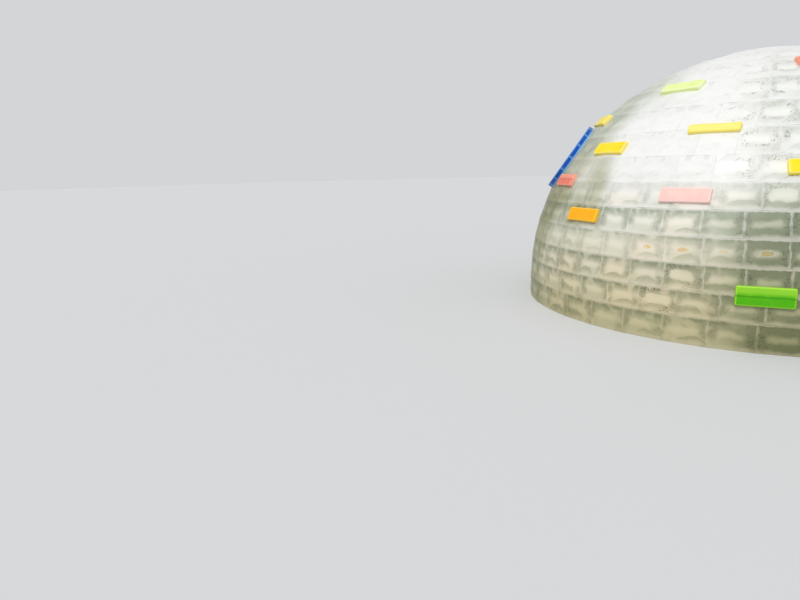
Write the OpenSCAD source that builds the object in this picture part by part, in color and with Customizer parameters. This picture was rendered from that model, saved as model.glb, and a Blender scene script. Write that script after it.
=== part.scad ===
// Ice-block igloo: a hollow dome of thirteen courses and a crown block, a round window in a
// ring of blue blocks on each side, a vaulted porch behind and coloured slabs let into the wall.
// Millimetres, +Z up. The origin is the middle of the footprint, on the ground.
// +Y points out of the porch, and the dome's middle lies on the Y axis.

/* [Dome] */
// Outer radius of the dome and of the upright base course
dome_r = 2000; // [1900:50:2300]
// Thickness of the ice wall
wall_t = 250; // [180:10:320]
// Height of the upright base course, from the ground to the springing of the dome
base_h = 200; // [140:10:300]
// Angle above the springing at which the wall courses end and the crown courses begin
wall_angle = 56; // [50:0.5:60]
// Radius of the crown block that closes the dome, on its outer face
crown_r = 350; // [250:10:450]

/* [Joints] */
// Gap left in a bed joint, between one course and the next
bed_gap = 0.3; // [0.2:0.1:1]
// Gap left in an upright joint, between one stretch of wall and the next
head_gap = 2; // [1.5:0.5:6]
// Clearance all round a piece that is let into the wall or stands against it
seat_gap = 0.3; // [0.2:0.1:1]

/* [Windows] */
// Clear width of the round window
window_d = 440; // [320:10:520]
// Width of the blue ring, across the face of its blocks
window_ring_w = 110; // [80:5:150]
// How far the blue ring stands out of the wall
window_proud = 20; // [10:5:120]
// Height of the window's middle above the springing, in courses
window_level = 6.1; // [5.6:0.1:6.8]
// Number of blocks in each window ring
window_blocks = 16; // [10:1:20]

/* [Porch] */
// Clear width of the doorway
door_w = 800; // [700:20:900]
// Height from the ground to where the doorway's round head springs
door_spring_h = 850; // [750:10:950]
// Length of the porch beyond the foot of the dome
porch_l = 500; // [400:20:900]
// Thickness of the porch walls and vault
porch_t = 220; // [160:10:260]
// Number of strips in the porch vault
vault_strips = 8; // [6:1:12]
// Depth of the blue door surround, along the porch
surround_l = 200; // [140:10:260]
// How far the blue door surround stands wide of the porch
surround_proud = 40; // [10:5:80]
// Number of blocks in the round head of the door surround
surround_blocks = 11; // [7:2:15]
// Number of blocks in each jamb of the door surround
jamb_blocks = 4; // [2:1:6]

/* [Coloured slabs] */
// Length of a coloured slab
slab_l = 350; // [260:10:420]
// Height of a coloured slab
slab_h = 110; // [80:5:140]
// Height of the thin yellow slabs
thin_slab_h = 75; // [50:5:90]
// Height of the green slabs
tall_slab_h = 135; // [100:5:150]
// Radius of a slab's four corners
slab_corner_r = 14; // [6:2:22]
// How far a slab stands out of the wall
slab_proud = 20; // [10:5:80]
// Depth to which a slab is let into the wall
slab_seat = 60; // [30:5:100]

/* [Hidden] */
$fn = 240;
wall_courses = 9;
crown_courses = 3;
dome_in_r = dome_r - wall_t;
reach = 2 * dome_r;
// Plumb rise of each wall course
course_h = dome_r * sin(wall_angle) / wall_courses;
// Angle above the springing of the foot of the crown block
crown_angle = 90 - asin(crown_r / dome_r);
crown_step = (crown_angle - wall_angle) / crown_courses;
// Upright joints, as angles either way from the doorway. Two bonds take turns up the wall,
// and both have a joint at the middle of the doorway and of each window.
bonds = [
    [0, 22.5, 45, 67.5, 90, 112.5, 135, 157.5, 180],
    [0, 33.75, 56.25, 90, 123.75, 146.25, 168.75]
];
crown_bonds = [[0, 30, 60, 90, 120, 150, 180], [22.5, 67.5, 112.5, 157.5], [0, 60, 120, 180]];
// The porch lengthens the footprint behind, so the dome stands half of that forward
dome_y = -porch_l / 2;
door_r = door_w / 2;
porch_front = dome_r + porch_l;
surround_y = porch_front - surround_l;
surround_t = porch_t + surround_proud;
window_ring_r = window_d / 2 + window_ring_w;
// Each place is [level in courses above the springing, list of compass angles from the front,
// height of the slab]
orange_places = [[3.55, four(-55), slab_h]];
yellow_places = [
    [6.4, four(-56.5), slab_h],
    [7.8, both(-81), slab_h],
    [5.5, [-4], slab_h],
    [7, four(-26.5), thin_slab_h]
];
lime_places = [[8.9, four(-45.5), slab_h]];
green_places = [[1, both(-12), tall_slab_h], [2, both(-118), tall_slab_h]];
red_places = [[5, four(-71.5), slab_h], [9.8, [6, 186], slab_h]];
pink_places = [[4.5, four(-29), slab_h]];
slab_places = concat(
    orange_places, yellow_places, lime_places, green_places, red_places, pink_places
);
// A slab reaches less far than this up or down from its level, in courses
slab_reach = 1;

function both(a) = [a, -a];
function four(a) = [a, -a, 180 - a, a - 180];

// Angle above the springing of a level counted in courses, in the wall and then in the crown
function level_angle(m) = m <= wall_courses
    ? asin(m * course_h / dome_r)
    : wall_angle + (m - wall_courses) * crown_step;

// Puts the children in the dome's own frame: its middle, at the springing
module at_dome() {
    translate([0, dome_y, base_h]) children();
}

// Turns the children so that their +X points out of the wall at a compass angle and a level.
// Compass angles are seen from above: 0 is the front, -Y, and 90 is the right, +X.
module at_wall(compass, angle) {
    rotate([0, 0, compass - 90]) rotate([0, -angle, 0]) children();
}

// Profile of a dome wall between two angles above the springing, right of the upright axis
module wall_profile(low, high) {
    difference() {
        intersection() {
            difference() {
                circle(r = dome_r);
                circle(r = dome_in_r);
            }
            polygon([
                [0, 0],
                [reach * cos(low), reach * sin(low)],
                [reach * cos(high), reach * sin(high)]
            ]);
        }
        // The bed joint on top
        polygon([
            [0, -bed_gap / cos(high)],
            [reach * cos(high), reach * sin(high) - bed_gap / cos(high)],
            [reach * cos(high), reach],
            [0, reach]
        ]);
    }
}

// Upright slots that part a ring of wall into stretches, on both sides of the doorway
module head_joints(bond, height) {
    for (angle = bond, side = [-1, 1])
        rotate([0, 0, 90 + side * angle])
            translate([0, -head_gap / 2, -1])
                cube([reach, head_gap, height + 2]);
}

// The round-headed doorway through the back of the dome, from the ground up
module doorway_cut() {
    translate([0, porch_front, 0]) rotate([90, 0, 0]) linear_extrude(porch_front) {
        translate([-door_r, -1]) square([door_w, door_spring_h + 1]);
        translate([0, door_spring_h]) circle(r = door_r);
    }
}

// The round hole in the wall for one window ring
module window_cut(compass) {
    at_wall(compass, level_angle(window_level))
        rotate([0, 90, 0]) cylinder(r = window_ring_r + seat_gap, h = reach);
}

// Outline of a slab's face, with round corners
module slab_outline(length, height, corner_r) {
    square([length - 2 * corner_r, height], center = true);
    square([length, height - 2 * corner_r], center = true);
    for (x = [-1, 1], y = [-1, 1])
        translate([x * (length / 2 - corner_r), y * (height / 2 - corner_r)])
            circle(r = corner_r, $fn = 48);
}

// One coloured slab in its place. A margin widens it all round, for its pocket.
module slab(compass, angle, height, margin) {
    at_wall(compass, angle)
        translate([dome_r - slab_seat - margin, 0, 0]) rotate([90, 0, 90])
            linear_extrude(slab_seat + slab_proud + margin)
                slab_outline(slab_l + 2 * margin, height + 2 * margin, slab_corner_r + margin);
}

module slabs(places, margin = 0) {
    for (place = places, compass = place[1])
        slab(compass, level_angle(place[0]), place[2], margin);
}

// Every pocket that reaches into the wall between two levels
module pockets(low, high) {
    slabs(
        [for (p = slab_places) if (p[0] > low - slab_reach && p[0] < high + slab_reach) p],
        seat_gap
    );
}

// One course of the dome between two levels, in stretches, with what is cut through it
module course(low, high, bond) {
    low_angle = level_angle(low);
    high_angle = level_angle(high);
    at_dome() difference() {
        rotate_extrude() wall_profile(low_angle, high_angle);
        head_joints(bond, dome_r);
        if (dome_in_r * sin(low_angle) + base_h < door_spring_h + door_r)
            translate([0, 0, -base_h]) doorway_cut();
        if (abs((low + high) / 2 - window_level) < 3)
            for (compass = both(90)) window_cut(compass);
        pockets(low, high);
    }
}

module wall_course(number) {
    color([0.80, 0.87, 0.88]) course(number - 2, number - 1, bonds[(number - 1) % 2]);
}

module base_course() {
    color([0.72, 0.79, 0.78]) translate([0, dome_y, 0]) difference() {
        cylinder(r = dome_r, h = base_h - bed_gap);
        translate([0, 0, -1]) cylinder(r = dome_in_r, h = base_h + 2);
        head_joints(bonds[0], base_h);
        doorway_cut();
    }
}

module crown_course(number) {
    color([0.86, 0.92, 0.93])
        course(number - 2, number - 1, crown_bonds[number - 2 - wall_courses]);
}

module crown_block() {
    color([0.90, 0.95, 0.96]) at_dome()
        rotate_extrude() intersection() {
            difference() {
                circle(r = dome_r);
                circle(r = dome_in_r);
            }
            polygon([[0, 0], [reach * cos(crown_angle), reach * sin(crown_angle)], [0, reach]]);
        }
}

// Outline of a ring of wedge blocks, or of the upper half of one, with its joints open
module wedge_outline(inner_r, outer_r, count, span) {
    joints = span < 360 ? count - 1 : count;
    difference() {
        circle(r = outer_r);
        circle(r = inner_r);
        for (i = [1 : joints])
            rotate(i * span / count)
                translate([0, -head_gap / 2]) square([2 * outer_r, head_gap]);
        if (span < 360)
            translate([-2 * outer_r, -2 * outer_r]) square([4 * outer_r, 2 * outer_r]);
    }
}

// A round-headed vault of wedge blocks that springs at z = 0, between two distances along +Y
module vault(inner_r, outer_r, from_y, to_y, count) {
    translate([0, to_y, 0]) rotate([90, 0, 0])
        linear_extrude(to_y - from_y) wedge_outline(inner_r, outer_r, count, 180);
}

// The blue ring of a round window: blocks that reach from the inner face to the proud one
module window_ring(compass) {
    start = dome_in_r - wall_t;
    color([0.16, 0.30, 0.72]) at_dome() difference() {
        at_wall(compass, level_angle(window_level))
            translate([start, 0, 0]) rotate([0, 90, 0])
                linear_extrude(dome_r + window_proud - start)
                    wedge_outline(window_d / 2, window_ring_r, window_blocks, 360);
        sphere(r = dome_in_r);
    }
}

// What the porch stands against: the outer face of the base course and of the dome
module dome_outside() {
    translate([0, 0, -1]) cylinder(r = dome_r + seat_gap, h = base_h + 1);
    translate([0, 0, base_h]) sphere(r = dome_r + seat_gap);
}

module porch_wall(side) {
    color([0.74, 0.82, 0.82]) translate([0, dome_y, 0]) difference() {
        translate([side > 0 ? door_r : -door_r - porch_t, 0, 0])
            cube([porch_t, surround_y - seat_gap, door_spring_h - bed_gap]);
        dome_outside();
    }
}

module porch_vault() {
    color([0.80, 0.87, 0.88]) translate([0, dome_y, 0]) difference() {
        translate([0, 0, door_spring_h])
            vault(door_r, door_r + porch_t, 0, surround_y - seat_gap, vault_strips);
        dome_outside();
    }
}

module door_jamb(side) {
    block_h = door_spring_h / jamb_blocks;
    color([0.16, 0.30, 0.72]) translate([0, dome_y, 0])
        for (i = [0 : jamb_blocks - 1])
            translate([side > 0 ? door_r : -door_r - surround_t, surround_y, i * block_h])
                cube([surround_t, surround_l, block_h - bed_gap]);
}

module door_arch() {
    color([0.16, 0.30, 0.72]) translate([0, dome_y, door_spring_h])
        vault(door_r, door_r + surround_t, surround_y, porch_front, surround_blocks);
}

module orange_slabs() {
    color([0.95, 0.45, 0.15]) at_dome() slabs(orange_places);
}

module yellow_slabs() {
    color([0.95, 0.85, 0.20]) at_dome() slabs(yellow_places);
}

module lime_slabs() {
    color([0.80, 0.92, 0.55]) at_dome() slabs(lime_places);
}

module green_slabs() {
    color([0.55, 0.80, 0.20]) at_dome() slabs(green_places);
}

module red_slabs() {
    color([0.88, 0.28, 0.22]) at_dome() slabs(red_places);
}

module pink_slabs() {
    color([0.93, 0.62, 0.60]) at_dome() slabs(pink_places);
}

base_course();
wall_course(2);  // course_02
wall_course(3);  // course_03
wall_course(4);  // course_04
wall_course(5);  // course_05
wall_course(6);  // course_06
wall_course(7);  // course_07
wall_course(8);  // course_08
wall_course(9);  // course_09
wall_course(10);  // course_10
crown_course(11);  // course_11
crown_course(12);  // course_12
crown_course(13);  // course_13
crown_block();
window_ring(-90);  // window_ring_left
window_ring(90);  // window_ring_right
porch_wall(-1);  // porch_wall_left
porch_wall(1);  // porch_wall_right
porch_vault();
door_jamb(-1);  // door_jamb_left
door_jamb(1);  // door_jamb_right
door_arch();
orange_slabs();
yellow_slabs();
lime_slabs();
green_slabs();
red_slabs();
pink_slabs();
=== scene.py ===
"""Ice-block igloo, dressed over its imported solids. Metres, +Z up, in the frame of the solids."""

from functools import lru_cache

import bpy
import numpy as np
from bpy.props import FloatProperty, FloatVectorProperty, IntProperty, PointerProperty
from mathutils import Matrix, Vector


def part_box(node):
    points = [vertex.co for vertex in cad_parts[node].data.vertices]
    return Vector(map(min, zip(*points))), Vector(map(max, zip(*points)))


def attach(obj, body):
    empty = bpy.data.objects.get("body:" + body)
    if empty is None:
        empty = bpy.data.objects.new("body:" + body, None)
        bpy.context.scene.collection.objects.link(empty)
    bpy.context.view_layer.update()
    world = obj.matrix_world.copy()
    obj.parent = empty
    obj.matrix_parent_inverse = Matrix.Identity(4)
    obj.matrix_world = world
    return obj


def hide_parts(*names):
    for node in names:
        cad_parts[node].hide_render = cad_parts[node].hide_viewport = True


bl_info = {
    "name": "Ice Block Igloo",
    "version": (1, 0, 0),
    "blender": (4, 5, 0),
    "location": "3D View > Sidebar > Igloo",
    "description": "Lays the ice blocks, window rings, porch and coloured slabs of an igloo",
    "category": "Object",
}

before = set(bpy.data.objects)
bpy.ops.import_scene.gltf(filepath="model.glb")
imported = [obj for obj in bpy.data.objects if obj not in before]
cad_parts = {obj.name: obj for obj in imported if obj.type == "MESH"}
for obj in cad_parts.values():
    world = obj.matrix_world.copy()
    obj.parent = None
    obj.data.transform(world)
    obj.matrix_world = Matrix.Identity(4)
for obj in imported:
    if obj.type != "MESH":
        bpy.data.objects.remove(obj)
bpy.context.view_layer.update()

SEED = 41

# Blocks in each course, the compass angle in degrees of one of its upright joints, and the start
# of its random numbers. Compass angles are seen from above: 0 is the front, -Y, and 90 is +X.
LAYING = [
    ("base_course", 42, 4.5, 100),
    ("course_02", 46, 4.0, 110),
    ("course_03", 48, -0.4, 109),
    ("course_04", 48, -1.1, 14759),
    ("course_05", 45, -0.7, 100),
    ("course_06", 43, 2.8, 115),
    ("course_07", 41, 2.2, 384),
    ("course_08", 39, -1.9, 102),
    ("course_09", 36, 3.4, 122),
    ("course_10", 34, 6.9, 100),
    ("course_11", 28, -1.5, 111),
    ("course_12", 20, 5.0, 112),
    ("course_13", 13, 0.0, 113),
]
# Slabs of each colour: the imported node, level in courses above the springing, which of the slab
# heights it has, and the compass angles
SLABS = {
    "orange_slabs": [(3.55, "slab_height", (55, -55, 125, -125))],
    "yellow_slabs": [
        (6.4, "slab_height", (56.5, -56.5, 123.5, -123.5)),
        (7.8, "slab_height", (81, -81)),
        (5.5, "slab_height", (-4,)),
        (7.0, "thin_slab_height", (26.5, -26.5, 153.5, -153.5)),
    ],
    "lime_slabs": [(8.9, "slab_height", (45.5, -45.5, 134.5, -134.5))],
    "green_slabs": [(1.0, "tall_slab_height", (12, -12)), (2.0, "tall_slab_height", (118, -118))],
    "red_slabs": [
        (5.0, "slab_height", (71.5, -71.5, 108.5, -108.5)),
        (9.8, "slab_height", (6, 186)),
    ],
    "pink_slabs": [(4.5, "slab_height", (29, -29, 151, -151))],
}

# How strongly a darker line shows along the middle of some slabs
SEAMS = {"green": 0.7, "red": 0.5}

# Rows of the porch and its surround, and the shares of the porch's length at which the upright
# joints of one row and of the next stand
PORCH_COURSES = 4
PORCH_BONDS = ((0.0, 0.42, 1.0), (0.0, 0.7, 1.0))
VAULT_STRIPS = 8
VAULT_BONDS = ((0.0, 0.4, 0.75, 1.0), (0.0, 0.22, 0.6, 1.0))
JAMB_BLOCKS = 4
ARCH_BLOCKS = 11
# Place across and up at which the length of a porch wall is taken
PORCH_PROBE = (0.5, 0.4)
# The crown block's profile: shares of its reach at which it has a point on either face, and how
# many arris radii the middle of its arris stands back
CROWN_SHARES = (0.25, 0.5, 0.75, 0.9)
MID_ARRIS = 0.3
CROWN_SECTORS = 48

# Start of the random numbers of each piece but the courses
STARTS = {
    "window_ring_left": 20,
    "window_ring_right": 21,
    "porch_wall_left": 29,
    "porch_wall_right": 31,
    "porch_vault": 35,
    "door_jamb_left": 39,
    "door_jamb_right": 41,
    "door_arch": 45,
    **{name: 50 + number for number, name in enumerate(SLABS)},
}
# The crown block is one piece, and this stands for its random numbers
CROWN_SEED = 0.3

# Metres: half the gap between two blue blocks, and how deep the porch is let into the dome
BLUE_GAP = 0.0008
PORCH_LET_IN = 0.012
# How far clear blocks reach under a window's ring. A block is left out where it stays this far
# inside the ring's edge, and where it reaches no further than this past the doorway's edge.
UNDER_RING = 0.045
HIDDEN_BY_RING = 0.008
PAST_DOORWAY = 0.004
# How far the outer face of a coloured slab waves
SLAB_WAVE = 0.0012

# Grid lines that cut a block: each is a share of the half size, less so many arris radii. The
# last set has no arris at the inner face.
ARRIS = ((-1, 0), (-1, 1), (1, 1), (1, 0))
ARRIS_MID = ((-1, 0), (-1, 1), (0, 0), (1, 1), (1, 0))
ARRIS_FINE = ((-1, 0), (-1, 1), (-0.5, 0), (0, 0), (0.5, 0), (1, 1), (1, 0))
OUTER = ((-1, 0), (1, 1), (1, 0))
# Degrees past which an edge is shaded sharp, and metres that are next to none
SHARP = 50
TINY = 1e-6

# Which way along X each side lies
SIDES = {"left": -1, "right": 1}

# The stage: metres, degrees, and millimetres for the camera's lens and sensor. The camera stands
# where the photograph was taken from.
FLOOR_RADIUS = 60
FLOOR_CORNERS = 64
FLOOR_DROP = 0.001
SUN_STRENGTH = 1.85
SUN_SPREAD = 0.6
SUN_COLOUR = (1.0, 0.995, 0.98)
SUN_COMPASS, SUN_HEIGHT = -22, 52
WORLD_STRENGTH = 0.54
CAMERA_PLACE = (-1.7325, -6.5087, 1.2699)
CAMERA_TILT, CAMERA_LEAN, CAMERA_TURN = 12.5136, -1.3115, 15.0
LENS, SENSOR = 27.0, 36.0

# How far random numbers move a block's noise, in metres, so that no two blocks look alike
SPREAD = (37.0, 37.0, 37.0)
# Width of the pale edge of the blue blocks and of the coloured slabs
BLUE_RIM = 0.009
SLAB_RIM = 0.014
# Places of the Mix node's sockets for colours
MIX_SHARE, MIX_FIRST, MIX_SECOND, MIX_RESULT = 0, 6, 7, 2

# Plain values of the two kinds of ice
CLEAR_GLOSS = {
    "IOR": 1.31,
    "Coat Weight": 0.2,
    "Coat Roughness": 0.25,
    "Subsurface Weight": 0.15,
    "Subsurface Scale": 0.02,
    "Subsurface Radius": (1.0, 1.0, 1.0),
}
DYED_GLOSS = {
    "IOR": 1.31,
    "Coat Weight": 0.05,
    "Coat Roughness": 0.2,
    "Subsurface Weight": 0.1,
    "Subsurface Scale": 0.02,
}


def linear(red, green, blue):
    """Linear colour of three screen values from 0 to 255: each over 255, then over 12.92 near
    black, and elsewhere 0.055 more, over 1.055, to the power 2.4."""
    c = np.array([red, green, blue]) / 255
    return tuple(np.where(c > 0.04045, ((c + 0.055) / 1.055) ** 2.4, c / 12.92).tolist())


@lru_cache(maxsize=None)
def box_of(node):
    """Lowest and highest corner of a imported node."""
    low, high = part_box(node)
    return np.array(low), np.array(high)


def dome_radius():
    """Half the width of the base course."""
    low, high = box_of("base_course")
    return float(high[0] - low[0]) / 2


def dome_middle():
    """Middle of the dome: on the Y axis, one radius behind the front, at the springing."""
    return np.array([0.0, box_of("base_course")[0][1] + dome_radius(), box_of("course_02")[0][2]])


def wall_thickness():
    """The crown block's underside rises to the inner radius times the sine of its foot angle."""
    low, high = box_of("crown_block")
    foot = np.arccos(high[0] / dome_radius())
    return dome_radius() - float((low[2] - dome_middle()[2]) / np.sin(foot))


def course_tops():
    """Angle above the springing of each course's top: the arc sine of its rise over the radius."""
    tops = [box_of(name)[1][2] - dome_middle()[2] for name, *_ in LAYING[1:]]
    return np.arcsin(np.array(tops) / dome_radius())


def level_angle(level):
    """Angle above the springing of a level counted in courses, straight between course tops."""
    tops = np.concatenate([[0.0], course_tops()])
    return float(np.arcsin(np.interp(level, np.arange(len(tops)), np.sin(tops))))


def metres(name, description, default, least, most):
    """A length setting in metres, with its default and its limits."""
    return FloatProperty(
        name=name, description=description, default=default, min=least, max=most,
        unit="LENGTH", subtype="DISTANCE",
    )


class IglooSizes(bpy.types.PropertyGroup):
    """Sizes of the ice blocks, of their joints and of the coloured slabs."""

    arris: metres("Block arris", "Melted radius of the clear blocks' edges", 0.001, 0.0005, 0.015)
    joint: metres("Frosted joint", "Width of the frost along a block's edges", 0.014, 0.004, 0.03)
    unevenness: metres("Unevenness", "How far a block's face is out of true", 0.001, 0.0, 0.005)
    flatness: FloatProperty(
        name="Flatness", default=0.6, min=0.0, max=1.0, subtype="FACTOR",
        description="How flat the face of a block is: 0 follows the dome and 1 is sawn flat",
    )
    blue_arris: metres("Blue arris", "Radius of the edges of the blue blocks", 0.005, 0.002, 0.015)
    slab_arris: metres("Slab arris", "Radius of the edges of the slabs", 0.012, 0.004, 0.03)
    window_clear: metres("Window opening", "Clear width of the round windows", 0.44, 0.32, 0.52)
    window_ring: metres("Window ring", "Width of the blue ring across its face", 0.11, 0.08, 0.15)
    window_proud: metres(
        "Window ring stands out", "How far the blue ring stands out of the wall", 0.02, 0.01, 0.12
    )
    window_blocks: IntProperty(
        name="Window blocks", description="Blocks in each window ring", default=16, min=10, max=20
    )
    slab_length: metres("Slab length", "Length of a coloured slab", 0.35, 0.26, 0.42)
    slab_height: metres("Slab height", "Height of a coloured slab", 0.11, 0.08, 0.14)
    thin_slab_height: metres("Thin slab height", "Height of a thin yellow slab", 0.075, 0.05, 0.09)
    tall_slab_height: metres("Tall slab height", "Height of a green slab", 0.135, 0.1, 0.15)
    slab_proud: metres("Slab stands out", "How far a slab stands out of the wall", 0.02, 0.01, 0.08)
    slab_seat: metres("Slab seat", "How deep a slab is let into the wall", 0.06, 0.03, 0.1)


def colour(name, description, screen):
    """A colour setting whose default is given as screen values."""
    return FloatVectorProperty(
        name=name, description=description, default=linear(*screen), min=0.0, max=1.0,
        size=3, subtype="COLOR",
    )


class IglooColours(bpy.types.PropertyGroup):
    """Colours of the ice."""

    # Frost of the joints, and also the painted glow high on the dome
    frost_and_glow: colour("Frost", "Joints and frosted edges", (240, 240, 240))
    # Cloudy core, also used for the painted glow about the glints
    core: colour("Cloudy core", "Milky middle of a clear block", (246, 245, 238))
    body: colour("Clear ice", "Clear ice between the core and the edges", (236, 231, 221))
    cool: colour("Cool ice", "Clear ice of the cooler blocks", (221, 224, 217))
    # Deep ice, also used for the painted shade over the flanks and the low middle of the front and
    # back
    deep: colour("Deep ice", "Dark band along the top of a clear block", (148, 159, 138))
    # Painted shade: darker, greener flanks, low middle of the front and back, and base course
    painted_shade: colour("Shade", "Tint of the sides and of the low front and back", (138, 156, 104))
    # Painted glints
    glint: colour("Glint", "Warm glints in one course", (238, 196, 118))
    speck: colour("Trapped specks", "Cracks and trapped grit", (78, 84, 66))
    # Warm painted shade towards the ground and over the flanks
    ground_shade: colour("Low tint", "Tint of the lowest courses", (226, 215, 181))
    blue: colour("Blue", "Window rings and door surround", (12, 86, 190))
    blue_edge: colour("Blue edge", "Edges of the blue blocks", (140, 198, 248))
    orange: colour("Orange", "Orange slabs", (255, 178, 0))
    orange_edge: colour("Orange edge", "Edges of the orange slabs", (255, 214, 70))
    yellow: colour("Yellow", "Yellow slabs", (255, 226, 8))
    yellow_edge: colour("Yellow edge", "Edges of the yellow slabs", (255, 240, 152))
    lime: colour("Lime", "Lime slabs", (230, 248, 160))
    lime_edge: colour("Lime edge", "Edges of the lime slabs", (244, 252, 214))
    green: colour("Green", "Green slabs", (80, 180, 0))
    green_edge: colour("Green edge", "Edges of the green slabs", (172, 228, 64))
    red: colour("Red", "Red slabs", (240, 112, 84))
    red_edge: colour("Red edge", "Edges of the red slabs", (254, 184, 160))
    pink: colour("Pink", "Pink slabs", (255, 204, 195))
    pink_edge: colour("Pink edge", "Edges of the pink slabs", (255, 228, 222))
    floor: colour("Floor", "Studio floor", (214, 216, 218))
    backdrop: colour("Backdrop", "Studio backdrop", (211, 213, 215))


def groups(context):
    """The sizes and the colours that the panel shows."""
    return context.scene.igloo_sizes, context.scene.igloo_colours


def sum_of(operation, turned=False):
    """A method that works out a new field from a field and another number. Turned, that number
    comes first."""

    def method(field, *other):
        values = (*other, field) if turned else (field, *other)
        return Field(field.recipe, field.recipe.worked("ShaderNodeMath", operation, *values))

    return method


class Field:
    """A number that varies over a surface. Sums of fields add the nodes that work them out."""

    def __init__(self, recipe, socket):
        self.recipe = recipe
        self.socket = socket

    __add__ = __radd__ = sum_of("ADD")
    __sub__ = sum_of("SUBTRACT")
    __rsub__ = sum_of("SUBTRACT", turned=True)
    __mul__ = __rmul__ = sum_of("MULTIPLY")
    __truediv__ = sum_of("DIVIDE")
    __pow__ = sum_of("POWER")
    __abs__ = sum_of("ABSOLUTE")
    least = sum_of("MINIMUM")
    most = sum_of("MAXIMUM")

    def rise(self, low, high):
        """0 up to low and 1 from high, on a smooth step. It falls where low is above high."""
        inputs = {"Value": self, "From Min": low, "From Max": high}
        node = self.recipe.node("ShaderNodeMapRange", inputs, interpolation_type="SMOOTHSTEP")
        return Field(self.recipe, node.outputs["Result"])


class Recipe:
    """The nodes of a material or of the world. Most methods add a node and return its output."""

    def __init__(self, owner):
        owner.use_nodes = True
        self.owner = owner
        self.tree = owner.node_tree

    def node(self, kind, inputs=None, **settings):
        node = self.tree.nodes.new(kind)
        for key, value in settings.items():
            setattr(node, key, value)
        self.fill(node, inputs or {})
        return node

    def fill(self, node, inputs):
        """Sets or links a node's inputs, given by their names or places."""
        for key, value in inputs.items():
            socket = node.inputs[key]
            if isinstance(value, Field):
                value = value.socket
            if isinstance(value, bpy.types.NodeSocket):
                self.tree.links.new(value, socket)
            elif hasattr(value, "__len__") and len(socket.default_value) == 4:
                socket.default_value = (*value, 1.0)
            else:
                socket.default_value = value

    def worked(self, kind, operation, *values):
        return self.node(kind, dict(enumerate(values)), operation=operation).outputs[0]

    def parts(self, vector):
        outputs = self.node("ShaderNodeSeparateXYZ", {0: vector}).outputs
        return [Field(self, output) for output in outputs]

    def place(self):
        return self.node("ShaderNodeTexCoord").outputs["Object"]

    def attribute(self, name):
        return self.node("ShaderNodeAttribute", attribute_name=name).outputs["Vector"]

    def own_place(self, seed):
        """The place plus the block's random numbers times the spread."""
        moved = self.worked("ShaderNodeVectorMath", "MULTIPLY", seed, SPREAD)
        return self.worked("ShaderNodeVectorMath", "ADD", self.place(), moved)

    def noise(self, vector, scale, detail, roughness=0.5):
        """Noise from 0 to 1 about one half, with scale in lumps a metre."""
        inputs = {"Vector": vector, "Scale": scale, "Detail": detail, "Roughness": roughness}
        return Field(self, self.node("ShaderNodeTexNoise", inputs).outputs["Fac"])

    def paint(self, base, *coats, how="MIX"):
        """The base under coats of other colours, one after another, each with its share."""
        for share, coat in coats:
            inputs = {MIX_SHARE: share, MIX_FIRST: base, MIX_SECOND: coat}
            node = self.node("ShaderNodeMix", inputs, data_type="RGBA", blend_type=how)
            base = node.outputs[MIX_RESULT]
        return base

    def bump(self, height, distance, normal=None):
        inputs = {"Height": height, "Distance": distance}
        if normal is not None:
            inputs["Normal"] = normal
        return self.node("ShaderNodeBump", inputs).outputs["Normal"]

    def finish(self, base, roughness, normal, constants):
        inputs = {"Base Color": base, "Roughness": roughness, "Normal": normal, **constants}
        self.fill(self.tree.nodes["Principled BSDF"], inputs)
        return self.owner


def zones(r, place):
    """Height, distance from the axis, how far round to the side a place lies, and its share of the
    middle of the front and back and of the flank, which take painted shade, the middle only low
    down. The flank is weaker near the ground, a painted light there, but at its end.
    The distance to the side over that from the axis, with slow noise added, says how far round."""
    sideways, lengthways, height = r.parts(place)
    from_axis = (sideways ** 2.0 + (lengthways - dome_middle()[1]) ** 2.0) ** 0.5
    side = abs(sideways) / from_axis.most(0.01) + (r.noise(place, 1.6, 2.0) - 0.5) * 0.5
    middle = side.rise(0.43, 0.14) * from_axis.rise(0.3, 1.1)
    # Painted light: low down the flank's painted shade is weaker, but not at its end
    pale_foot = height.rise(0.8, 0.7) * (1 - side.rise(0.83, 0.91))
    flank = side.rise(0.7, 1.0) * from_axis.rise(0.4, 1.3) * (1 - 0.65 * pale_foot)
    return height, from_axis, side, middle, flank


def warm_glints(r, base, colours, u, v, ripple, grain, height, warmth, middle):
    """Painted light in one course: a paler, milky painted glow all along it, and in its warmer
    blocks a painted glint in a pale painted halo, both ellipses about the block's middle. In the
    front and the back specks lie round the glint."""
    spot = ((u + ripple * 0.5) / 0.34) ** 2.0 + ((v - 0.02 + ripple * 0.3) / 0.2) ** 2.0
    course = height.rise(0.56, 0.60) * height.rise(0.76, 0.72)
    here = course * warmth.rise(0.56, 0.6)
    thread = spot.rise(0.2, 0.35) * spot.rise(0.7, 0.45) * grain.rise(0.44, 0.56)
    return r.paint(
        base,
        # painted glow along the course, then a painted halo and glint in its warmer blocks
        (course * (1 - middle) * 0.35, colours.core),
        (spot.rise(2.2, 0.6) * here * 0.7, colours.core),
        (spot.rise(1.0, 0.1) * here * 0.75, colours.glint),
        (thread * here * middle * 0.7, colours.speck),
    )


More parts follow.
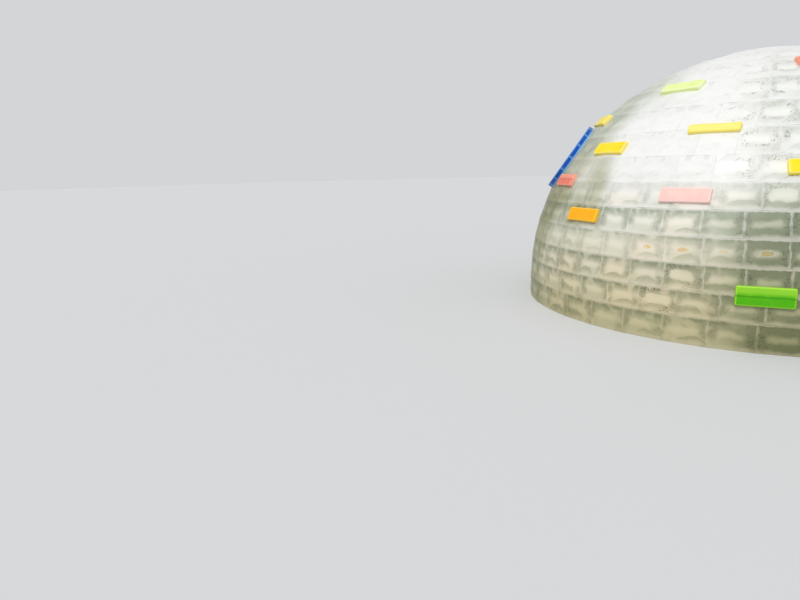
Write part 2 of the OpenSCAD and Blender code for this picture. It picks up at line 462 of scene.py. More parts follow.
def clear_ice(name, sizes, colours, frost_glow_amount, glints):
    """Clear block ice. Under a block's frosted edge runs a dark brow, at its foot lies a lens of
    smoother ice with an arched top, and its ends are speckled. Some blocks have a milky oblong in
    the middle, with cracks about two of its corners.

    All this follows a block's own coordinates, u along and v up, from -1 to 1, bent by slow noise.
    Frost, which also paints the glow of light, covers it high on the dome, as far as its amount
    says, least of all over the middle of the front and back and over the flanks. Painted shade
    darkens the flanks, the low middle of the front and back and the base course, and a warm painted
    shade grows towards the ground."""
    r = Recipe(bpy.data.materials.new(name))
    seed = r.attribute("block_seed")
    own = r.own_place(seed)
    u, v, _ = r.parts(r.attribute("block_uvw"))
    half_u, half_v, _ = r.parts(r.attribute("block_half"))
    pick, shift, warmth = r.parts(seed)

    swirl = r.noise(own, 9.0, 2.0) - 0.5
    ripple = r.noise(own, 34.0, 3.0) - 0.5
    grain = r.noise(own, 120.0, 3.0, 0.65)
    mottle = r.noise(own, 60.0, 3.0, 0.7).rise(0.5, 0.6)
    patch = r.noise(own, 13.0, 1.0)
    bend = swirl * 0.7 + ripple * 0.2
    x, y = u + bend, v + bend * 0.7

    # Frost by the distances in metres to the block's top, foot and ends, broken at the ends
    wide = sizes.joint
    joint = ((1 - v) * half_v + ripple * 0.018).rise(wide, wide * 0.4)
    foot = ((1 + v) * half_v + swirl * 0.06).rise(wide * 2.8, wide * 0.2)
    end = ((1 - abs(u)) * half_u + ripple * 0.02).rise(wide, wide * 0.2)
    joint = joint.most(foot * 0.85).most(end * (0.35 + patch.rise(0.4, 0.55) * 0.5))
    height, from_axis, side, middle, flank = zones(r, r.place())
    low, high = height.rise(1.3, 0.82), height.rise(0.95, 1.2)
    # Frost high on the dome, which also paints the glow of light there
    frost_glow_cover = height.rise(0.86, 1.3) * (1 - 0.6 * middle) * (1 - 0.62 * flank) * frost_glow_amount
    shown = 1 - frost_glow_cover

    brow = y.rise(0.0, 0.75) * 0.75 + y.rise(0.5, 0.85) * 0.35
    brow = brow * (0.25 + patch.rise(0.36, 0.58) * 0.75)
    # The lens is an ellipse about a place at the foot, and the coolest blocks have none
    bow = ((x + (shift - 0.5) * 0.8) / (0.6 + pick * 0.3)) ** 2.0
    bow = bow + ((y + 1.0) / (0.55 + shift * 0.4)) ** 2.0
    lens = bow.rise(1.06, 0.92) * y.rise(-1.0, -0.3) * warmth.rise(0.12, 0.3)
    ends = abs(x).rise(0.45, 0.86) * patch.rise(0.68, 0.42)
    streak = y.rise(-0.4, -0.02) * y.rise(0.42, 0.06) * abs(x).rise(0.85, 0.35)
    # A rounded oblong is where the sum of the fourth powers is below one
    oblong = (abs(x + 0.08) / 0.60) ** 4.0 + (abs(y - 0.06) / 0.42) ** 4.0
    milky = pick.rise(0.79, 0.81)
    core = oblong.rise(2.2, 0.35) * milky * (1 - 0.75 * high)
    corner = (y - x * 0.8).rise(0.35, 0.85).most((x * 0.8 - y).rise(0.6, 1.0))
    cracks = oblong.rise(0.9, 1.3) * corner * (milky * 0.8 + 0.2)
    # High on the front and the back, arcs of specks lie about parts of the oblong
    arc = oblong.rise(0.5, 1.0) * oblong.rise(7.0, 2.5) * (swirl + 0.5).rise(0.52, 0.46)
    arc = arc * high * (0.1 + 0.9 * side.rise(0.52, 0.32)) * from_axis.rise(0.3, 0.9)

    flecks = grain.rise(0.50, 0.60) * (ends * 0.35 + cracks).least(1.0)
    grit = abs(x).rise(0.42, 0.75) * middle * low * patch.rise(0.62, 0.5)
    flecks = (flecks * shown).most(mottle * (arc * 0.75).most(grit * 0.85))
    # Painted shade at the limb of the flanks, below the top, mottled
    edge = side.rise(0.82, 0.94) * height.rise(1.6, 1.2)

    base = r.paint(
        colours.cool,
        (warmth.rise(0.2, 0.8) * (1 - 0.7 * high), colours.body),
        # painted shade in deep ice over the low middle of the front and back and over the flanks
        (middle * low * 0.95 + flank * 0.35, colours.deep),
        (brow * shown * 0.88, colours.deep),
        ((lens * 0.58 + arc * 0.4) * shown, colours.deep),
        (ends * shown * 0.54, colours.deep),
        (streak * (0.45 + shown * 0.25), colours.core),
        (core * 0.75, colours.core),
        (flecks * 0.88, colours.speck),
        # painted shade, mottled, at the limb
        (mottle * edge * 0.6, colours.deep),
    )
    if glints:
        base = warm_glints(r, base, colours, u, v, ripple, grain, height, warmth, middle)
    # Painted shade over the low middle of the front and back
    base = r.paint(base, (middle * low * 0.5, colours.painted_shade), how="MULTIPLY")
    # Frost and painted glow hide the pattern, but not its specks
    hidden = frost_glow_cover * (1 - 0.8 * flecks)
    base = r.paint(
        base,
        (joint * (0.58 + frost_glow_cover * 0.32), colours.frost_and_glow),
        (hidden * (0.6 + 0.4 * patch.rise(0.3, 0.6)), colours.frost_and_glow),
        ((brow + lens * 0.6) * patch.rise(0.5, 0.6) * hidden * 0.2, colours.deep),
        ((grain - 0.5).rise(-0.3, 0.3) * 0.16, colours.cool),
    )
    # Painted shade: greener over the flanks, weaker low down, and darker at the base course
    low_flank = flank * height.rise(1.7, 1.0)
    painted_shade = flank * 0.4 + low_flank * height.rise(0.4, 0.8) * 0.22
    painted_shade = painted_shade + height.rise(0.28, 0.08) * (1 - flank) * 0.2
    # Warm painted shade, stronger towards the ground, and over the flanks below the top
    ground_shade = height.rise(1.25, 0.05).most(low_flank)
    base = r.paint(base, (ground_shade, colours.ground_shade), (painted_shade, colours.painted_shade), how="MULTIPLY")

    rough = 0.38 + joint * 0.2 + grain * 0.1
    normal = r.bump(r.noise(own, 9.0, 2.0), 0.004)
    normal = r.bump(grain * (0.25 + joint * 0.75), 0.0008, normal)
    return r.finish(base, rough, normal, CLEAR_GLOSS)


def coloured_ice(name, dye, colours, rim, seam=0.0, wall=None):
    """Dyed ice, cloudy, with pale edges as wide as rim, in metres. Where seam is above zero, a
    darker line runs along mid height and the ice above it is paler. wall is how far the outer face
    stands out of the wall, where a pale line runs along a block. A thin block is paler inside.

    Each face is at no distance from one of the three directions' ends, so that the distance to the
    nearest edge is the middle one of the three distances."""
    r = Recipe(bpy.data.materials.new(name))
    body, edge_colour = tuple(getattr(colours, dye)), tuple(getattr(colours, dye + "_edge"))
    deep = tuple(0.6 * c for c in body)
    own = r.own_place(r.attribute("block_seed"))
    u, v, w = r.parts(r.attribute("block_uvw"))
    half_u, half_v, half_w = r.parts(r.attribute("block_half"))
    cloud = r.noise(own, 12.0, 3.0)
    grain = r.noise(own, 120.0, 2.0)
    wave = cloud - 0.5
    along, across = (1 - abs(u)) * half_u, (1 - abs(v)) * half_v
    edge = along.least(across).most(along.most(across).least((1 - abs(w)) * half_w))
    pale = (edge + wave * 0.006).rise(rim, rim * 0.2)
    thin = half_v.rise(0.046, 0.039)
    base = r.paint(
        body,
        (cloud.rise(0.46, 0.2) * 0.3, deep),
        (pale * 0.7 + cloud.rise(0.5, 0.8) * 0.25, edge_colour),
        (thin * edge.rise(0.006, 0.016) * 0.7, edge_colour),
    )
    if seam > 0:
        line = (v + 0.02 + wave * 0.1) / 0.10
        above = (v + wave * 0.3).rise(0.0, 0.5) * seam * 0.8
        base = r.paint(base, (above, edge_colour), ((line * line).rise(1.0, 0.1) * seam, deep))
    if wall is not None:
        depth = (1 - w) * half_w + wave * 0.004
        foot = depth.rise(wall - 0.012, wall - 0.004) * v.rise(-1.0, -0.7)
        base = r.paint(base, (foot * 0.8, edge_colour))
    normal = r.bump(r.noise(own, 11.0, 2.0), 0.004)
    normal = r.bump(grain, 0.0005, normal)
    return r.finish(base, 0.26 + grain * 0.12 + pale * 0.12, normal, DYED_GLOSS)


def block_net(lines):
    """Points and quads of the skin of a box that grid lines cut in three directions.

    Points are numbered along u, then v, then w, and only those on the skin are kept. The result
    is the kept points' grid places, three to a point, and the quads, wound outwards."""
    counts = [len(axis) for axis in lines]
    ids = np.arange(np.prod(counts)).reshape(counts)

    def sheet(side, axis):
        grid = ids.take(side, axis)
        corners = (grid[:-1, :-1], grid[1:, :-1], grid[1:, 1:], grid[:-1, 1:])
        return np.stack(corners, -1).reshape(-1, 4)

    quads = []
    for axis, outer, inner in ((2, -1, 0), (1, 0, -1), (0, -1, 0)):
        quads += [sheet(outer, axis), sheet(inner, axis)[:, ::-1]]
    kept, quads = np.unique(np.concatenate(quads), return_inverse=True)
    return np.stack(np.unravel_index(kept, counts), -1), quads.reshape(-1, 4)


def round_blocks(half, radius, lines):
    """Blocks with rounded edges, each about its own middle, one row of points to a block.

    A point starts on the skin of a box of the half sizes. Its nearest point in an inner box, one
    radius smaller all round, is found by clipping, and it then stands one radius off that."""
    places, quads = block_net(lines)
    flat = np.empty((len(half), len(places), 3))
    for axis in range(3):
        share, short = np.array(lines[axis], float)[places[:, axis]].T
        flat[:, :, axis] = share * (half[:, axis, None] - short * radius)
    inner = np.clip(flat, -(half - radius)[:, None], (half - radius)[:, None])
    away = flat - inner
    points = inner + radius * away / np.linalg.norm(away, axis=-1, keepdims=True)
    return points, flat / half[:, None], quads


def block_seeds(count, number):
    """Three random numbers from 0 to 1 for each block, the same at each run."""
    return np.random.default_rng([SEED, number]).random((count, 3))


def half_sizes(long, tall, thick):
    """Half the length, the height and the depth of each block, one row to a block."""
    return np.stack(np.broadcast_arrays(long, tall, thick), -1) / 2


def add_blocks(node, blocks, material, seeds=None, ending="_blocks"):
    """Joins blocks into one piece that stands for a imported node. Each block's own coordinates,
    half sizes and random numbers become attributes for the material."""
    points, uvw, half, quads = blocks
    count, each = points.shape[:2]
    if seeds is None:
        seeds = block_seeds(count, STARTS[node])
    joined = (quads[None] + each * np.arange(count)[:, None, None]).reshape(-1, 4)
    attributes = {
        "block_uvw": uvw,
        "block_half": np.broadcast_to(half[:, None], points.shape),
        "block_seed": np.broadcast_to(seeds[:, None], points.shape),
    }
    points = points.reshape(-1, 3)
    piece = add_piece(node, ending, points, joined, attributes, material)
    piece.data.normals_split_custom_set_from_vertices(wide_normals(points, joined))


def wide_normals(points, quads):
    """The normal of each point: the sum over its faces of the cross product of their diagonals,
    which is as long as the face is wide, so that arrises leave the wide faces flat."""
    first, second, third, fourth = points[quads].transpose(1, 0, 2)
    across = np.cross(third - first, fourth - second)
    total = np.zeros_like(points)
    for corner in quads.T:
        np.add.at(total, corner, across)
    return total / np.linalg.norm(total, axis=-1, keepdims=True)


def add_object(name, data):
    """An object in the scene, at the origin."""
    thing = bpy.data.objects.new(name, data)
    bpy.context.scene.collection.objects.link(thing)
    return thing


def add_piece(node, ending, points, faces, attributes, material):
    """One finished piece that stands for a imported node, smooth but for its sharp edges."""
    mesh = bpy.data.meshes.new(node + ending)
    mesh.from_pydata(points, [], faces)
    for key, values in attributes.items():
        layer = mesh.attributes.new(key, "FLOAT_VECTOR", "POINT")
        layer.data.foreach_set("vector", np.ascontiguousarray(values, np.float32).ravel())
    mesh.shade_smooth()
    mesh.set_sharp_from_angle(angle=np.radians(SHARP))
    mesh.materials.append(material)
    piece = add_object(node + ending, mesh)
    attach(piece, "root")
    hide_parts(node)
    return piece


def on_dome(compass, angle, radius):
    """Points at a compass angle, an angle above the springing and a radius from the middle."""
    compass, angle, radius = np.broadcast_arrays(compass, angle, radius)
    flat = radius * np.cos(angle)
    around = [flat * np.sin(compass), -flat * np.cos(compass), radius * np.sin(angle)]
    return np.stack(around, -1) + dome_middle()


def axes_at(compass, angle):
    """The three directions at a place on the dome: along the course, up the wall and out of it."""
    c, s = np.cos(compass), np.sin(compass)
    along = np.array([c, s, 0.0])
    up = np.array([-s * np.sin(angle), c * np.sin(angle), np.cos(angle)])
    return along, up, np.cross(along, up)


def window_places():
    """Compass angle and angle above the springing of each window. The second comes from how far
    the middle of its ring's box lies above the dome's middle and beside it."""
    places = {}
    for hand, side in SIDES.items():
        low, high = box_of("window_ring_" + hand)
        reach, _, rise = abs((low + high) / 2 - dome_middle())
        places["window_ring_" + hand] = (side * np.pi / 2, float(np.arctan2(rise, reach)))
    return places


def trim_to_window(points, place, radius, hidden_radius):
    """Opens the wall for a window.

    A point nearer to the window's axis than the radius is moved straight away from it until it is
    that far, and a block that lies wholly within the hidden radius is dropped."""
    axis = axes_at(*place)[2]
    from_middle = points - dome_middle()
    along = from_middle @ axis
    across = from_middle - along[..., None] * axis
    distance = np.maximum(np.linalg.norm(across, axis=-1), TINY)
    facing = along > 0
    pushed = across * (np.maximum(distance, radius) / distance)[..., None]
    moved = np.where(facing[..., None], dome_middle() + along[..., None] * axis + pushed, points)
    return moved, ~np.all(facing & (distance < hidden_radius), axis=1)


def door_size():
    """Half width of the doorway, and the height at which its round head springs."""
    return float(box_of("door_jamb_right")[0][0]), float(box_of("door_arch")[0][2])


def trim_to_doorway(points):
    """Opens the back wall for the doorway.

    Below the springing of its head a point inside the doorway moves sideways to the jamb, and
    above it a point moves straight away from the head's centre until it is on the arch. A block
    that lies wholly inside is dropped."""
    half_width, spring = door_size()
    x, y, z = np.moveaxis(points, -1, 0)
    rise = np.maximum(z - spring, 0.0)
    distance = np.maximum(np.hypot(x, rise), TINY)
    behind = y > dome_middle()[1]
    inside = behind & (distance < half_width)
    low = z < spring
    grown = half_width / distance
    side = np.where(x < 0, -half_width, half_width)
    moved = points.copy()
    moved[..., 0] = np.where(inside, np.where(low, side, x * grown), x)
    moved[..., 2] = np.where(inside & ~low, spring + rise * grown, z)
    return moved, ~np.all(behind & (distance < half_width + PAST_DOORWAY), axis=1)


def course_blocks(laying, low, high, sizes):
    """Blocks of one course, laid end to end round the wall from one upright joint. low and high
    are angles above the springing, or heights for the upright base.

    A block's length follows the compass angle, its height the other, and its depth the radius.
    On a flat outer face a point's radius is one over the cosine of its angle from the face's
    middle, times what puts the furthest corner on the dome. Flatness is the share of the fall
    from the dome's radius that a point takes."""
    name, count, joint, start = laying
    upright = name == "base_course"
    radius, thick = dome_radius(), wall_thickness()
    half_turn = np.pi / count
    middle = np.radians(joint) + half_turn * (2 * np.arange(count) + 1)
    level, half_level = (low + high) / 2, (high - low) / 2
    reach = radius if upright else radius * np.cos(level)
    tall = half_level if upright else half_level * radius
    half = np.tile([half_turn * reach, tall, thick / 2], (count, 1))
    seeds = block_seeds(count, start)
    points, uvw, quads = round_blocks(half, sizes.arris, (ARRIS_MID, ARRIS, OUTER))
    turn = points[..., 0] / half[:, None, 0] * half_turn
    compass = middle[:, None] + turn
    up = level + points[..., 1] / half[:, None, 1] * half_level
    facing = np.cos(turn)
    if not upright:
        facing = np.cos(level) * np.cos(up) * facing + np.sin(level) * np.sin(up)
    fall = sizes.flatness * radius * (facing.min() / facing - 1)
    lean = (seeds - 0.5)[:, :, None] * sizes.unevenness * 2
    slope = lean[:, 0] + lean[:, 1] * uvw[..., 0] + lean[:, 2] * uvw[..., 1]
    outer = (uvw[..., 2] + 1) / 2
    out = radius - thick / 2 + points[..., 2] + (fall + slope - sizes.unevenness) * outer
    if upright:
        placed = on_dome(compass, 0.0, out)
        placed[..., 2] = up
    else:
        placed = on_dome(compass, up, out)
    keep = np.ones(count, bool)
    ring = sizes.window_clear / 2 + sizes.window_ring
    for place in window_places().values():
        placed, kept = trim_to_window(placed, place, ring - UNDER_RING, ring - HIDDEN_BY_RING)
        keep &= kept
    placed, kept = trim_to_doorway(placed)
    keep &= kept
    return (placed[keep], uvw[keep], half[keep], quads), seeds[keep]


class IGLOO_OT_wall_blocks(bpy.types.Operator):
    """Lay the blocks of the base course and of the domed courses"""

    bl_idname = "igloo.wall_blocks"
    bl_label = "Wall Blocks"

    def execute(self, context):
        sizes, colours = groups(context)
        ice = clear_ice("clear block ice", sizes, colours, 1.0, True)
        lows = [0.0, 0.0, *course_tops()[:-1]]
        highs = [dome_middle()[2], *course_tops()]
        for laying, low, high in zip(LAYING, lows, highs):
            blocks, seeds = course_blocks(laying, low, high, sizes)
            add_blocks(laying[0], blocks, ice, seeds)
        return {"FINISHED"}


class IGLOO_OT_crown_block(bpy.types.Operator):
    """Turn the round block that closes the dome"""

    bl_idname = "igloo.crown_block"
    bl_label = "Crown Block"

    def execute(self, context):
        sizes, colours = groups(context)
        crown_block(sizes, clear_ice("crown block ice", sizes, colours, 1.0, False))
        return {"FINISHED"}


def crown_block(sizes, material):
    """A profile turned about the upright axis.

    It runs from the pole of the inner face out along that face, up the leaning bed, round the
    arris and back along the outer face to the other pole. Each of its points is an angle from the
    axis and a radius from the dome's middle."""
    radius, thick, arris = dome_radius(), wall_thickness(), sizes.arris
    foot, turn = np.pi / 2 - course_tops()[-1], arris / radius
    inner = radius - thick
    bed_lean = [foot, foot, foot, foot - MID_ARRIS * turn, foot - turn]
    bed_out = [inner, radius - thick / 2, radius - arris, radius - MID_ARRIS * arris, radius]
    shares = np.array(CROWN_SHARES)
    lean = np.concatenate([foot * shares, bed_lean, foot * shares[::-1]])
    out = np.concatenate([inner + 0 * shares, bed_out, radius + 0 * shares])
    sectors, rows = CROWN_SECTORS, len(lean)
    around = np.arange(sectors) * 2 * np.pi / sectors
    ring = on_dome(around[:, None], np.pi / 2 - lean[None], out[None])
    poles = on_dome(0.0, np.pi / 2, np.array([inner, radius]))
    ids = np.arange(sectors * rows).reshape(sectors, rows)
    after = np.roll(ids, -1, axis=0)
    quads = np.stack([ids[:, :-1], after[:, :-1], after[:, 1:], ids[:, 1:]], -1).reshape(-1, 4)
    low_fan = np.stack([after[:, 0], ids[:, 0], np.full(sectors, ids.size)], -1)
    high_fan = np.stack([ids[:, -1], after[:, -1], np.full(sectors, ids.size + 1)], -1)
    share = np.tile(np.stack([lean / foot, 0 * lean, 0 * lean], -1), (sectors, 1))
    uvw = np.concatenate([share, np.zeros((2, 3))])
    points = np.concatenate([ring.reshape(-1, 3), poles])
    attributes = {
        "block_uvw": uvw,
        "block_half": np.full_like(points, foot * radius),
        "block_seed": np.full_like(points, CROWN_SEED),
    }
    faces = quads.tolist() + low_fan.tolist() + high_fan.tolist()
    add_piece("crown_block", "_ice", points, faces, attributes, material)


def in_ring(angle, radius, along, axes, centre):
    """Points at an angle and a radius round an axis, some way along it. The angle runs from the
    second of the three directions, away from the first."""
    first, second, axis = axes
    across = np.cos(angle)[..., None] * second - np.sin(angle)[..., None] * first
    return centre + radius[..., None] * across + along[..., None] * axis


class IGLOO_OT_window_rings(bpy.types.Operator):
    """Set the blue wedge blocks round both windows"""

    bl_idname = "igloo.window_rings"
    bl_label = "Window Rings"

    def execute(self, context):
        sizes, colours = groups(context)
        outer = sizes.window_clear / 2 + sizes.window_ring
        wall = dome_radius() + sizes.window_proud - np.sqrt(dome_radius() ** 2 - outer**2)
        ice = coloured_ice("blue ring ice", "blue", colours, BLUE_RIM, wall=wall)
        for node, place in window_places().items():
            window_ring(node, place, sizes, ice)
        return {"FINISHED"}


def window_ring(node, place, sizes, material):
    """Wedge blocks whose length follows the angle round the window's axis, and whose height is the
    distance from it. Their depth runs from the dome's inner face, at the root of the inner radius
    squared less that distance squared, out to a plane."""
    count = sizes.window_blocks
    half_turn = np.pi / count
    middle = half_turn * (2 * np.arange(count) + 1)
    inner = dome_radius() - wall_thickness()
    face = dome_radius() + sizes.window_proud
    mid_r = (sizes.window_clear + sizes.window_ring) / 2
    depth = face - np.sqrt(inner**2 - mid_r**2)
    size = [half_turn * mid_r - BLUE_GAP, sizes.window_ring / 2, depth / 2]
    half = np.tile(size, (count, 1))
    points, uvw, quads = round_blocks(half, sizes.blue_arris, (ARRIS_FINE, ARRIS_MID, ARRIS_MID))
    angle = middle[:, None] + points[..., 0] / mid_r
    radius = mid_r + points[..., 1]
    root = np.sqrt(inner**2 - radius**2)
    reach = root + (points[..., 2] / depth + 0.5) * (face - root)
    placed = in_ring(angle, radius, reach, axes_at(*place), dome_middle())
    add_blocks(node, (placed, uvw, half, quads), material)


class IGLOO_OT_porch(bpy.types.Operator):
    """Lay the blocks of the porch walls and of its vault"""

    bl_idname = "igloo.porch"
    bl_label = "Porch"

    def execute(self, context):
        sizes, colours = groups(context)
        ice = clear_ice("porch ice", sizes, colours, 0.4, False)
        for hand, side in SIDES.items():
            porch_wall("porch_wall_" + hand, side, sizes, ice)
        porch_vault("porch_vault", sizes, ice)
        return {"FINISHED"}


def dome_back(x, z):
    """How far back the dome's outside reaches at a place across and a height, less a little so
    that the porch is let into it: the root of the radius squared less both squared."""
    rise = np.maximum(z - dome_middle()[2], 0.0)
    return dome_middle()[1] + np.sqrt((dome_radius() - PORCH_LET_IN) ** 2 - x**2 - rise**2)


def along_porch(x, z, share, end):
    """Points at a place across and a height, their share of the way from the dome to the end."""
    back = dome_back(x, z)
    return np.stack([x, back + share * (end - back), z], -1)


def bonded(bonds, rows):
    """Start and end of each block as shares of the length, and its row. Bonds are taken in turn."""
    taken = [bonds[row % len(bonds)] for row in range(rows)]
    start = np.concatenate([bond[:-1] for bond in taken])
    end = np.concatenate([bond[1:] for bond in taken])
    return start, end, np.repeat(np.arange(rows), [len(bond) - 1 for bond in taken])


def porch_wall(node, side, sizes, material):
    """Blocks in level courses, whose inner ends follow the dome's outside. The place of a point
    along the porch is the dome's reach there plus a share of what is left to the surround."""
    low, high = box_of(node)
    start, end, course = bonded(PORCH_BONDS, PORCH_COURSES)
    length = high[1] - dome_back(*PORCH_PROBE)
    tall = (high[2] - low[2]) / PORCH_COURSES
    half = half_sizes((end - start) * length, tall, high[0] - low[0])
    points, uvw, quads = round_blocks(half, sizes.arris, (ARRIS_MID, ARRIS, ARRIS_MID))
    share = ((start + end) / 2)[:, None] + side * points[..., 0] / length
    z = low[2] + (course[:, None] + 0.5) * tall + points[..., 1]
    x = (low[0] + high[0]) / 2 + side * points[..., 2]
    placed = along_porch(x, z, share, high[1])
    add_blocks(node, (placed, uvw, half, quads), material)


def porch_vault(node, sizes, material):
    """Blocks in strips round the vault's axis, laid along the porch from the dome outwards."""
    half_width, spring = door_size()
    outer, far_end, _ = box_of(node)[1]
    mid_r = (half_width + outer) / 2
    start, end, strip = bonded(VAULT_BONDS, VAULT_STRIPS)
    half_turn = np.pi / VAULT_STRIPS / 2
    length = far_end - dome_back(0.0, spring + mid_r)
    half = half_sizes((end - start) * length, 2 * half_turn * outer, outer - half_width)
    points, uvw, quads = round_blocks(half, sizes.arris, (ARRIS_MID, ARRIS_MID, ARRIS_MID))
    angle = half_turn * (2 * strip[:, None] + 1) + points[..., 1] / half[:, None, 1] * half_turn
    radius = mid_r + points[..., 2]
    share = ((start + end) / 2)[:, None] + points[..., 0] / length
    x, z = radius * np.cos(angle), spring + radius * np.sin(angle)
    placed = along_porch(x, z, share, far_end)
    add_blocks(node, (placed, uvw, half, quads), material)


class IGLOO_OT_door_surround(bpy.types.Operator):
    """Set the blue blocks round the doorway"""

    bl_idname = "igloo.door_surround"
    bl_label = "Door Surround"

    def execute(self, context):
        sizes, colours = groups(context)
        ice = coloured_ice("blue door ice", "blue", colours, BLUE_RIM)
        for hand in SIDES:
            door_jamb("door_jamb_" + hand, sizes, ice)
        door_arch("door_arch", sizes, ice)
        return {"FINISHED"}


def door_jamb(node, sizes, material):
    """Blocks one on the other, between the node's lowest and highest corner."""
    low, high = box_of(node)
    size = (high - low) / [1, 1, JAMB_BLOCKS]
    half = np.tile([size[0] / 2, size[2] / 2 - BLUE_GAP, size[1] / 2], (JAMB_BLOCKS, 1))
    points, uvw, quads = round_blocks(half, sizes.blue_arris, (ARRIS_FINE, ARRIS_FINE, ARRIS_MID))
    level = low[2] + (np.arange(JAMB_BLOCKS) + 0.5) * size[2]
    x = (low[0] + high[0]) / 2 - points[..., 0]
    y = (low[1] + high[1]) / 2 + points[..., 2]
    placed = np.stack([x, y, level[:, None] + points[..., 1]], -1)
    add_blocks(node, (placed, uvw, half, quads), material)


def door_arch(node, sizes, material):
    """Wedge blocks in a half ring round the head's centre."""
    half_width, spring = door_size()
    low, high = box_of(node)
    outer, mid_r = high[0], (half_width + high[0]) / 2
    half_turn = np.pi / ARCH_BLOCKS / 2
    size = [half_turn * mid_r - BLUE_GAP, (outer - half_width) / 2, (high[1] - low[1]) / 2]
    half = np.tile(size, (ARCH_BLOCKS, 1))
    points, uvw, quads = round_blocks(half, sizes.blue_arris, (ARRIS_MID, ARRIS_FINE, ARRIS_MID))
    angle = half_turn * (2 * np.arange(ARCH_BLOCKS)[:, None] + 1) + points[..., 0] / mid_r
    radius = mid_r + points[..., 1]
    axes = np.array([[0.0, 0.0, -1.0], [1.0, 0.0, 0.0], [0.0, 1.0, 0.0]])
    centre = np.array([0.0, (low[1] + high[1]) / 2, spring])
    placed = in_ring(angle, radius, points[..., 2], axes, centre)
    add_blocks(node, (placed, uvw, half, quads), material)


class IGLOO_OT_coloured_slabs(bpy.types.Operator):
    """Let the coloured slabs into the wall"""

    bl_idname = "igloo.coloured_slabs"
    bl_label = "Coloured Slabs"

    def execute(self, context):
        sizes, colours = groups(context)
        for node, rows in SLABS.items():
            dye = node.split("_")[0]
            seam = SEAMS.get(dye, 0.0)
            ice = coloured_ice(dye + " slab ice", dye, colours, SLAB_RIM, seam, sizes.slab_proud)
            slabs(node, rows, sizes, ice)
        return {"FINISHED"}


def slabs(node, rows, sizes, material):
    """Straight slabs whose depth lies along the dome's radius.

    A point of a slab is the dome's middle plus its own coordinates along the course, up the wall
    and out of it. Two low waves, a sine along the outer face and a cosine up it, stand for its
    melting."""
    places = [(np.radians(c), level_angle(level), kind) for level, kind, cs in rows for c in cs]
    tall = np.array([getattr(sizes, kind) for _, _, kind in places])
    half = half_sizes(sizes.slab_length, tall, sizes.slab_seat + sizes.slab_proud)
    points, uvw, quads = round_blocks(half, sizes.slab_arris, (ARRIS_FINE, ARRIS_MID, ARRIS_MID))
    seeds = block_seeds(len(places), STARTS[node])
    turn = seeds[:, :2, None] * 2 * np.pi
    wave = np.sin(4 * uvw[..., 0] + turn[:, 0]) + np.cos(3 * uvw[..., 1] + turn[:, 1])
    outer = (uvw[..., 2] + 1) / 2
    points[..., 2] += SLAB_WAVE * (wave - 2) * outer
    points[..., 2] += dome_radius() + (sizes.slab_proud - sizes.slab_seat) / 2
    axes = np.array([axes_at(compass, angle) for compass, angle, _ in places])
    placed = dome_middle() + points @ axes
    add_blocks(node, (placed, uvw, half, quads), material, seeds, "_cut")


class IGLOO_OT_stage(bpy.types.Operator):
    """Set up the floor, the light and the camera"""

    bl_idname = "igloo.stage"
    bl_label = "Stage"

    def execute(self, context):
        colours = context.scene.igloo_colours
        stage_floor(colours)
        stage_light(colours)
        stage_camera()
        context.scene.view_settings.view_transform = "Standard"
        return {"FINISHED"}


def stage_floor(colours):
    """A flat disc under the igloo: points on a circle about the origin."""
    around = np.arange(FLOOR_CORNERS) * 2 * np.pi / FLOOR_CORNERS
    rim = np.stack([np.cos(around), np.sin(around), 0 * around], -1) * FLOOR_RADIUS
    rim[:, 2] -= FLOOR_DROP
    mesh = bpy.data.meshes.new("studio_floor")
    mesh.from_pydata(rim, [], [list(range(FLOOR_CORNERS))])
    r = Recipe(bpy.data.materials.new("studio floor"))
    tone = r.noise(r.place(), 0.6, 2.0)
    floor = tuple(colours.floor)
    base = r.paint(floor, (tone * 0.15, tuple(0.94 * c for c in floor)))
    mesh.materials.append(r.finish(base, 0.8 + tone * 0.1, r.bump(tone, 0.001), {}))
    add_object("studio_floor", mesh)


def stage_light(colours):
    """A broad lamp high in front, and an even world, in whose place the camera, reflections and
    clear things see the backdrop."""
    lamp = bpy.data.lights.new("key", "SUN")
    lamp.energy = SUN_STRENGTH
    lamp.angle = SUN_SPREAD
    lamp.color = SUN_COLOUR
    key = add_object("key", lamp)
    toward = axes_at(np.radians(SUN_COMPASS), np.radians(SUN_HEIGHT))[2]
    key.rotation_mode = "QUATERNION"
    key.rotation_quaternion = Vector(toward).to_track_quat("Z", "Y")
    world = bpy.data.worlds.new("studio")
    r = Recipe(world)
    ambient = r.tree.nodes["Background"]
    r.fill(ambient, {"Color": (1.0, 1.0, 1.0), "Strength": WORLD_STRENGTH})
    seen = r.node("ShaderNodeBackground", {"Color": colours.backdrop})
    path = r.node("ShaderNodeLightPath")
    rays = ("Is Camera Ray", "Is Glossy Ray", "Is Transmission Ray")
    camera, glossy, clear = (Field(r, path.outputs[ray]) for ray in rays)
    inputs = {0: camera.most(glossy).most(clear), 1: ambient.outputs[0], 2: seen.outputs[0]}
    mix = r.node("ShaderNodeMixShader", inputs)
    r.fill(r.tree.nodes["World Output"], {"Surface": mix.outputs[0]})
    bpy.context.scene.world = world


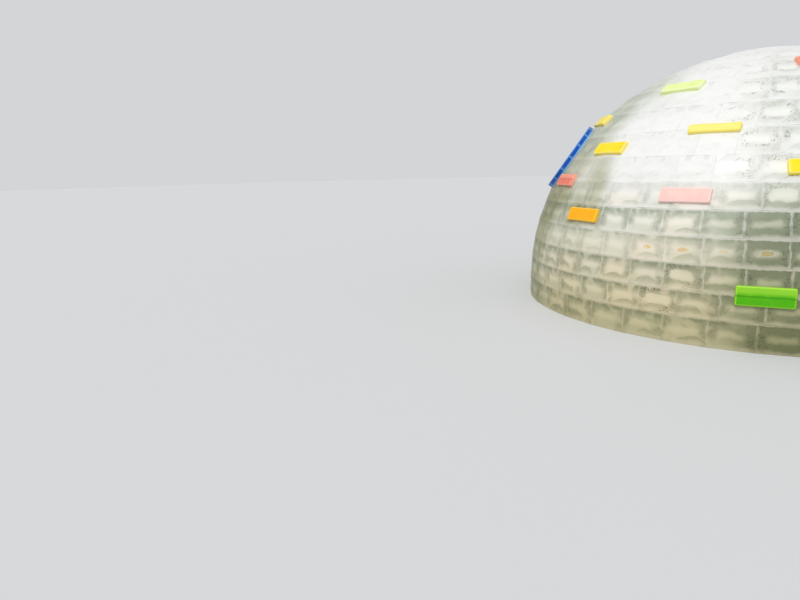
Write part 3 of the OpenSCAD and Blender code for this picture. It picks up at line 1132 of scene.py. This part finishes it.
def stage_camera():
    """A camera at the photograph's place. It looks straight down at first, leans about its own
    line of sight, rises to its tilt below level along +Y, and turns about the upright axis."""
    camera = add_object("camera", bpy.data.cameras.new("camera"))
    camera.data.sensor_width = SENSOR
    camera.data.lens = LENS
    camera.matrix_world = (
        Matrix.Translation(CAMERA_PLACE)
        @ Matrix.Rotation(np.radians(CAMERA_TURN), 4, "Z")
        @ Matrix.Rotation(np.radians(90 - CAMERA_TILT), 4, "X")
        @ Matrix.Rotation(np.radians(CAMERA_LEAN), 4, "Z")
    )
    bpy.context.scene.camera = camera


class IGLOO_PT_panel(bpy.types.Panel):
    """Buttons for the igloo's pieces"""

    bl_label = "Ice Block Igloo"
    bl_idname = "IGLOO_PT_panel"
    bl_space_type = "VIEW_3D"
    bl_region_type = "UI"
    bl_category = "Igloo"

    def draw(self, context):
        for operator in OPERATORS:
            self.layout.operator(operator.bl_idname)
        for group in groups(context):
            box = self.layout.box()
            for key in group.bl_rna.properties.keys():
                if key not in ("rna_type", "name"):
                    box.prop(group, key)


OPERATORS = (
    IGLOO_OT_stage,
    IGLOO_OT_wall_blocks,
    IGLOO_OT_crown_block,
    IGLOO_OT_window_rings,
    IGLOO_OT_porch,
    IGLOO_OT_door_surround,
    IGLOO_OT_coloured_slabs,
)
CLASSES = (IglooSizes, IglooColours, *OPERATORS, IGLOO_PT_panel)


def register():
    for cls in CLASSES:
        bpy.utils.register_class(cls)
    bpy.types.Scene.igloo_sizes = PointerProperty(type=IglooSizes)
    bpy.types.Scene.igloo_colours = PointerProperty(type=IglooColours)


def unregister():
    del bpy.types.Scene.igloo_colours
    del bpy.types.Scene.igloo_sizes
    for cls in reversed(CLASSES):
        bpy.utils.unregister_class(cls)


def main():
    register()
    bpy.ops.igloo.stage()
    bpy.ops.igloo.wall_blocks()
    bpy.ops.igloo.crown_block()
    bpy.ops.igloo.window_rings()
    bpy.ops.igloo.porch()
    bpy.ops.igloo.door_surround()
    bpy.ops.igloo.coloured_slabs()


if __name__ == "__main__":
    main()
